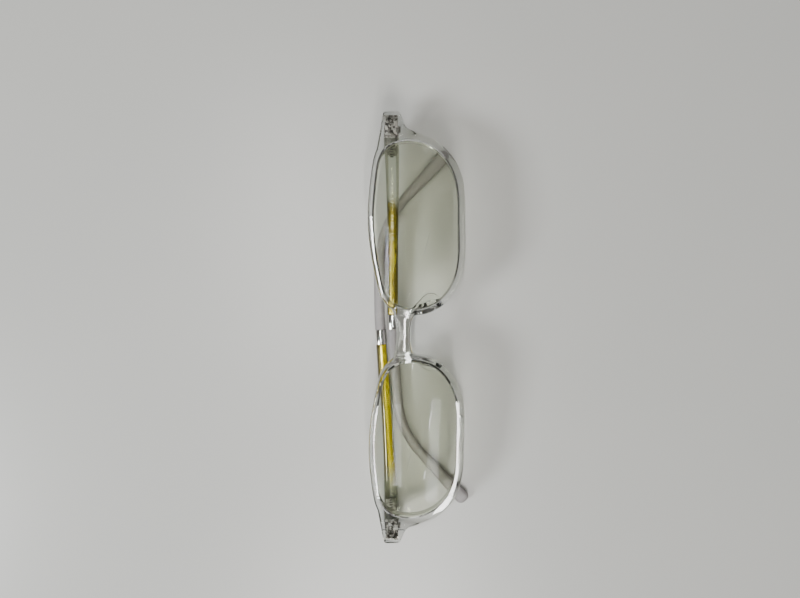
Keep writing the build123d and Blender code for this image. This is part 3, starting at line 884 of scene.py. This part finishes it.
# %% Helpers for Geometry Nodes
def tree_with(name, inputs):
    """An empty geometry tree with number and material inputs, and its group input and output nodes."""
    tree = bpy.data.node_groups.new(name, "GeometryNodeTree")
    tree.interface.new_socket("Geometry", in_out="OUTPUT", socket_type="NodeSocketGeometry")
    for label, kind in inputs.items():
        tree.interface.new_socket(label, in_out="INPUT", socket_type=kind)
    return tree, tree.nodes.new("NodeGroupInput"), tree.nodes.new("NodeGroupOutput")


def link(tree, *rows):
    """Links sockets: each row is a node and its output, then a node and its input."""
    for maker, output, user, target in rows:
        tree.links.new(maker.outputs[output], user.inputs[target])


def grown(name, tree, values):
    """The plain mesh that a geometry tree gives for its named input values."""
    host = bpy.data.objects.new(name, bpy.data.meshes.new(name + "_seed"))
    bpy.context.scene.collection.objects.link(host)
    modifier = host.modifiers.new("nodes", "NODES")
    modifier.node_group = tree
    for item in tree.interface.items_tree:
        if item.in_out == "INPUT" and item.name in values:
            modifier[item.identifier] = values[item.name]
    evaluated = host.evaluated_get(bpy.context.evaluated_depsgraph_get())
    mesh = bpy.data.meshes.new_from_object(evaluated)
    host.modifiers.remove(modifier)
    bpy.data.objects.remove(host)
    return mesh


# %% Ferrule tree
ferrule_radius = 1.85
ferrule_bore = 1.34         # its radius
ferrule_easing = 0.2
ferrule_gap = 0.02          # what is left between it, the temple and the tip, together
RING_STEPS = 96
EASING_STEPS = 6
RING_INPUTS = dict.fromkeys(("Middle Radius", "Wall", "Length", "Easing"), "NodeSocketFloat")
RING_INPUTS["Material"] = "NodeSocketMaterial"


def ring_tree():
    """A turned ring: a rounded rectangle carried round a circle."""
    tree, given, result = tree_with("turned_ring", RING_INPUTS)
    add = tree.nodes.new
    circle = add("GeometryNodeCurvePrimitiveCircle")
    circle.inputs["Resolution"].default_value = RING_STEPS
    profile = add("GeometryNodeCurvePrimitiveQuadrilateral")
    eased = add("GeometryNodeFilletCurve")
    eased.mode = "POLY"
    eased.inputs["Count"].default_value = EASING_STEPS
    carried = add("GeometryNodeCurveToMesh")
    coloured = add("GeometryNodeSetMaterial")
    realized = add("GeometryNodeRealizeInstances")
    link(
        tree,
        (given, "Middle Radius", circle, "Radius"),
        (given, "Wall", profile, "Width"),
        (given, "Length", profile, "Height"),
        (profile, "Curve", eased, "Curve"),
        (given, "Easing", eased, "Radius"),
        (circle, "Curve", carried, "Curve"),
        (eased, "Curve", carried, "Profile Curve"),
        (carried, "Mesh", realized, "Geometry"),
        (realized, "Geometry", coloured, "Geometry"),
        (given, "Material", coloured, "Material"),
        (coloured, "Geometry", result, "Geometry"),
    )
    return tree


rings_tree = ring_tree()


def make_ferrule(side):
    """A ferrule round the temple's line, from the plain ring."""
    values = {
        "Middle Radius": (ferrule_radius + ferrule_bore) / 2 * MM,
        "Wall": (ferrule_radius - ferrule_bore) * MM,
        "Length": (ferrule_length - ferrule_gap) * MM,
        "Easing": ferrule_easing * MM,
        "Material": bright_metal,
    }
    mesh = grown(SIDES[side] + "_ring", rings_tree, values)
    along, up = temple_axes[side]
    middle = temple_start[side] + temple_directions(side)[0] * (temple_length + ferrule_length / 2)
    mesh.transform(stand(Vector(laid(middle)), up, along.cross(up), along))
    close_skin(mesh)
    return finish_mesh(SIDES[side] + "_ferrule_ring", mesh, bright_metal)


for side, name in SIDES.items():
    settle(make_ferrule(side), name + "_arm", "bright_metal", name + "_ferrule")

# %% [markdown]
# ## Hinges
# The hinges are steel plates sunk in the lugs, with barrels and a screw. They show through the clear plastic
# as dark shapes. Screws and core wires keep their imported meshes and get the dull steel. The plates are
# copies, grown by a hair, so that their faces don't lie exactly in the walls of their pockets.

# %% Hinge parts
LEAF_GROWTH = 0.012         # in mm
for name in SIDES.values():
    node = name + "_front_hinge_leaf"
    leaf = merged_copy(node, name + "_lug_plate", steels["knurled_steel_and_painted_glints"], grow=LEAF_GROWTH)
    settle(leaf, "front", "hinge_steel", node)
    node = name + "_temple_hinge_leaf"
    leaf = merged_copy(node, name + "_butt_plate", steels["plate_steel"], grow=LEAF_GROWTH)
    settle(leaf, name + "_arm", "hinge_steel", node)
    for node in (name + "_hinge_screw", name + "_core_wire"):
        kept = frame["nodes"][node]
        kept.data.materials.clear()
        kept.data.materials.append(steels["hinge_steel"])
        print(node, "keeps its packed mesh")

# %% [markdown]
# ## Rows of small blocks
# Three things are rows of small blocks: the knurling that anchors each front plate in its lug, the dark gaps
# between the ribs in the butt of each temple, which are black blocks as painted shade, and the marks on the
# left temple. One rule makes them all. A grid of points gets a block at each point, some are left out, and
# each is turned and sized at random.

# %% Tree for rows of blocks
BLOCK_INPUTS = dict.fromkeys(("Length", "Width", "Top", "Turn", "Smallest", "Kept"), "NodeSocketFloat")
BLOCK_INPUTS.update(dict.fromkeys(("Rows", "Columns", "Seed"), "NodeSocketInt"))
BLOCK_INPUTS.update({"Block": "NodeSocketVector", "Material": "NodeSocketMaterial"})


def block_tree():
    """Blocks on a grid of points. Top is the share of a block's size at its top, so 0 makes a pyramid."""
    tree, given, result = tree_with("rows_of_blocks", BLOCK_INPUTS)
    add = tree.nodes.new
    grid = add("GeometryNodeMeshGrid")
    points = add("GeometryNodeMeshToPoints")
    block = add("GeometryNodeMeshCone")
    block.inputs["Vertices"].default_value = 4
    block.inputs["Radius Bottom"].default_value = sqrt(0.5)
    block.inputs["Depth"].default_value = 1.0
    squared = add("GeometryNodeTransform")
    squared.inputs["Rotation"].default_value = (0, 0, pi / 4)
    sized = add("GeometryNodeTransform")
    kept = add("FunctionNodeRandomValue")
    kept.data_type = "BOOLEAN"
    turn = add("FunctionNodeRandomValue")
    size = add("FunctionNodeRandomValue")
    least_turn = add("ShaderNodeMath")
    least_turn.operation = "MULTIPLY"
    least_turn.inputs[1].default_value = -1.0
    spin = add("ShaderNodeCombineXYZ")
    placed = add("GeometryNodeInstanceOnPoints")
    realized = add("GeometryNodeRealizeInstances")
    coloured = add("GeometryNodeSetMaterial")
    top = add("ShaderNodeMath")
    top.operation = "MULTIPLY"
    top.inputs[1].default_value = sqrt(0.5)
    link(
        tree,
        (given, "Length", grid, "Size X"),
        (given, "Width", grid, "Size Y"),
        (given, "Columns", grid, "Vertices X"),
        (given, "Rows", grid, "Vertices Y"),
        (grid, "Mesh", points, "Mesh"),
        (given, "Top", top, 0),
        (top, 0, block, "Radius Top"),
        (block, "Mesh", squared, "Geometry"),
        (squared, "Geometry", sized, "Geometry"),
        (given, "Block", sized, "Scale"),
        (given, "Kept", kept, "Probability"),
        (given, "Seed", kept, "Seed"),
        (given, "Turn", least_turn, 0),
        (least_turn, 0, turn, 2),
        (given, "Turn", turn, 3),
        (given, "Seed", turn, "Seed"),
        (turn, 1, spin, "X"),
        (given, "Smallest", size, 2),
        (given, "Seed", size, "Seed"),
        (points, "Points", placed, "Points"),
        (kept, 3, placed, "Selection"),
        (sized, "Geometry", placed, "Instance"),
        (spin, "Vector", placed, "Rotation"),
        (size, 1, placed, "Scale"),
        (placed, "Instances", realized, "Geometry"),
        (realized, "Geometry", coloured, "Geometry"),
        (given, "Material", coloured, "Material"),
        (coloured, "Geometry", result, "Geometry"),
    )
    return tree


blocks_tree = block_tree()


def make_blocks(name, middle, ways, area, cells, block, material, **choices):
    """Rows of blocks about a place of the drawing, along two directions, standing in a third. Sizes in mm."""
    values = {"Top": 1.0, "Turn": 0.0, "Smallest": 1.0, "Kept": 1.0, "Seed": 1}
    values.update(choices)
    values.update({"Length": area[0] * MM, "Width": area[1] * MM, "Columns": cells[0], "Rows": cells[1]})
    values.update({"Block": tuple(size * MM for size in block), "Material": material})
    mesh = grown(name + "_rows", blocks_tree, values)
    mesh.transform(stand(Vector(laid(middle)), *(laid_direction(way) for way in ways)))
    return finish_mesh(name, mesh, material, block_sharp)


def on_temple(side, distance, rise, depth):
    """A place on the side of a temple that faces the lenses, and the directions to lay blocks there."""
    along, up = temple_directions(side)
    inner = -side * np.cross(along, up)
    middle = temple_start[side] + along * distance + up * rise + inner * depth
    return middle, (along, np.cross(inner, along), inner)


# %% Knurling, and painted shade between ribs
block_sharp = radians(10)
front_leaf_thickness = 0.8
knurl_at = (66.6, hinge_height, -hinge_depth + barrel_reach + front_leaf_thickness)
knurl_area = (2.6, 3.5)
knurl_cells = (5, 6)
knurl_block = (0.62, 0.6, 0.5)
rib_distance = 6.0          # from the hinge
rib_depth = butt_thickness / 2 - 0.02
rib_row = (3.6, 0.0)
rib_count = 6
rib_block = (0.32, 1.1, 0.16)
upright = np.eye(3)
for side, name in SIDES.items():
    middle = (side * knurl_at[0], *knurl_at[1:])
    knurl = make_blocks(
        name + "_lug_knurling", middle, upright, knurl_area, knurl_cells, knurl_block,
        steels["knurled_steel_and_painted_glints"], Top=0.25, Turn=0.35, Smallest=0.7, Kept=0.9, Seed=3 + side,
    )
    settle(knurl, "front", "hinge_steel")
    # Painted shade: nearly black blocks stand in for the shade in the gaps between the ribs
    middle, ways = on_temple(side, rib_distance, 0.0, rib_depth)
    ribs = make_blocks(
        name + "_butt_rib_gap_shade", middle, ways, rib_row, (rib_count, 1), rib_block, steels["gap_shade_black"],
        Top=0.9, Seed=5,
    )
    settle(ribs, name + "_arm", "hinge_steel")

# %% Pale marks on the left temple
mark_block = (0.22, 1.1, 0.06)
mark_rise = 0.15
# For each group: distance from the hinge, length, number of marks, and its paint
MARKS = {
    "first": (18.5, 7.0, 14, "pale_paint", (0.90, 0.90, 0.84)),
    "second": (30.5, 8.0, 16, "worn_paint", (0.72, 0.70, 0.58)),
}
for group, (distance, length, count, paint_name, colour) in MARKS.items():
    middle, ways = on_temple(LEFT, distance, mark_rise, waist_thickness / 2)
    marks = make_blocks(
        "left_temple_marks_" + group, middle, ways, (length, 0.0), (count, 1), mark_block,
        plain_paint(paint_name, colour, 0.4), Smallest=0.75, Kept=0.85, Seed=7,
    )
    settle(marks, "left_arm", "temple_plastic")

# %% [markdown]
# ## The crack
# The moulding itself has a thin slit. A dark sheet in it is painted shade, which makes the crack a dark
# hairline across the bright rim. One upright block of the same rule fills the slit.

# %% Painted shade in the crack
crack_at = (-25.85, -14.2, -4.9)        # middle of the slit's back end, on the right rim
crack_size = (0.15, 1.35, 3.45)         # its width, its reach into the rim, and front to back
slant = radians(4.0)
# Painted shade: a nearly black block fills the slit, where the crack breaks the rim's highlight
crack_shade_paint = plain_paint("crack_shade_paint", (0.07, 0.065, 0.055), 0.8)
crack_ways = ((cos(slant), sin(slant), 0), (-sin(slant), cos(slant), 0), (0, 0, 1))
crack = make_blocks("crack_shade_sheet", crack_at, crack_ways, (0.0, 0.0), (1, 1), crack_size, crack_shade_paint)
settle(crack, "front", "clear_plastic")

# %% [markdown]
# ## Table and light
# The table is a plain pale sheet with a soft gloss. A white band on a polished rim is a thin bright light
# seen in it, so four lights are thin strips, each in the direction that its place mirrors into the camera.
# The lamp draws the lines on the temples, and the others the bands on the right rim and the streaks on the
# bridge. A soft window on the brow side gives the shadows their direction. The room is a dim grey, which
# clear edges need, because they show what is around them.

# %% Table
def table_material():
    sheet = Sheet("table")
    cloud = sheet.noise(60.0, detail=2.0)
    shader = sheet.principled(
        Base_Color=sheet.blend(cloud, (0.50, 0.505, 0.485), (0.535, 0.53, 0.51)),
        Roughness=0.32,
    )
    return sheet.done(shader)


half_table = 1.5            # metres
corners = [(-half_table, -half_table, 0), (half_table, -half_table, 0)]
corners += [(half_table, half_table, 0), (-half_table, half_table, 0)]
table = mesh_object("table", corners, [(0, 1, 2, 3)], table_material())

# %% Lights
WARM = (1.0, 0.985, 0.955)
COOL = (0.95, 0.985, 1.0)
ROOM = (0.62, 0.60, 0.56)
ROOM_STRENGTH = 0.16
# For each light: the place it faces in mm, the direction it is in, its distance and its size in metres, its
# power in watts, and its colour
LIGHTS = {
    "lamp": ((30, 7, -12), (0.07, 0.085, 1.0), 1.2, (0.5, 0.035), 5.0, WARM),
    "low_strip": ((-40, -13.5, -2.5), (-0.518, -0.079, 0.851), 1.15, (0.5, 0.05), 5.0, WARM),
    "brow_strip": ((-36, 14, -2.5), (-0.50, 0.038, 0.86), 1.15, (0.4, 0.04), 3.4, WARM),
    "bridge_strip": ((0, 4, -2.5), (-0.14, -0.012, 0.99), 1.2, (0.25, 0.014), 0.9, WARM),
    "window": ((0, 0, -8), (-0.3, 0.7, 0.65), 0.9, (0.22, 0.22), 6.6, COOL),
}


def area_light(name, aim, direction, distance, size, power, colour):
    """A rectangular light that faces a place of the drawing from a direction, wide along the front."""
    data = bpy.data.lights.new(name, "AREA")
    data.shape = "RECTANGLE"
    data.size, data.size_y = size
    data.energy = power
    data.color = colour
    light = bpy.data.objects.new(name, data)
    way = laid_direction(direction)
    deep = way.cross(axis_x).normalized()
    light.matrix_world = stand(Vector(laid(aim)) + way * distance, deep.cross(way), deep, way)
    bpy.context.scene.collection.objects.link(light)


for name, choices in LIGHTS.items():
    area_light(name, *choices)

world = bpy.data.worlds.new("room")
world.use_nodes = True
backdrop = world.node_tree.nodes["Background"]
backdrop.inputs["Color"].default_value = (*ROOM, 1)
backdrop.inputs["Strength"].default_value = ROOM_STRENGTH
bpy.context.scene.world = world
print("lit by", *LIGHTS)
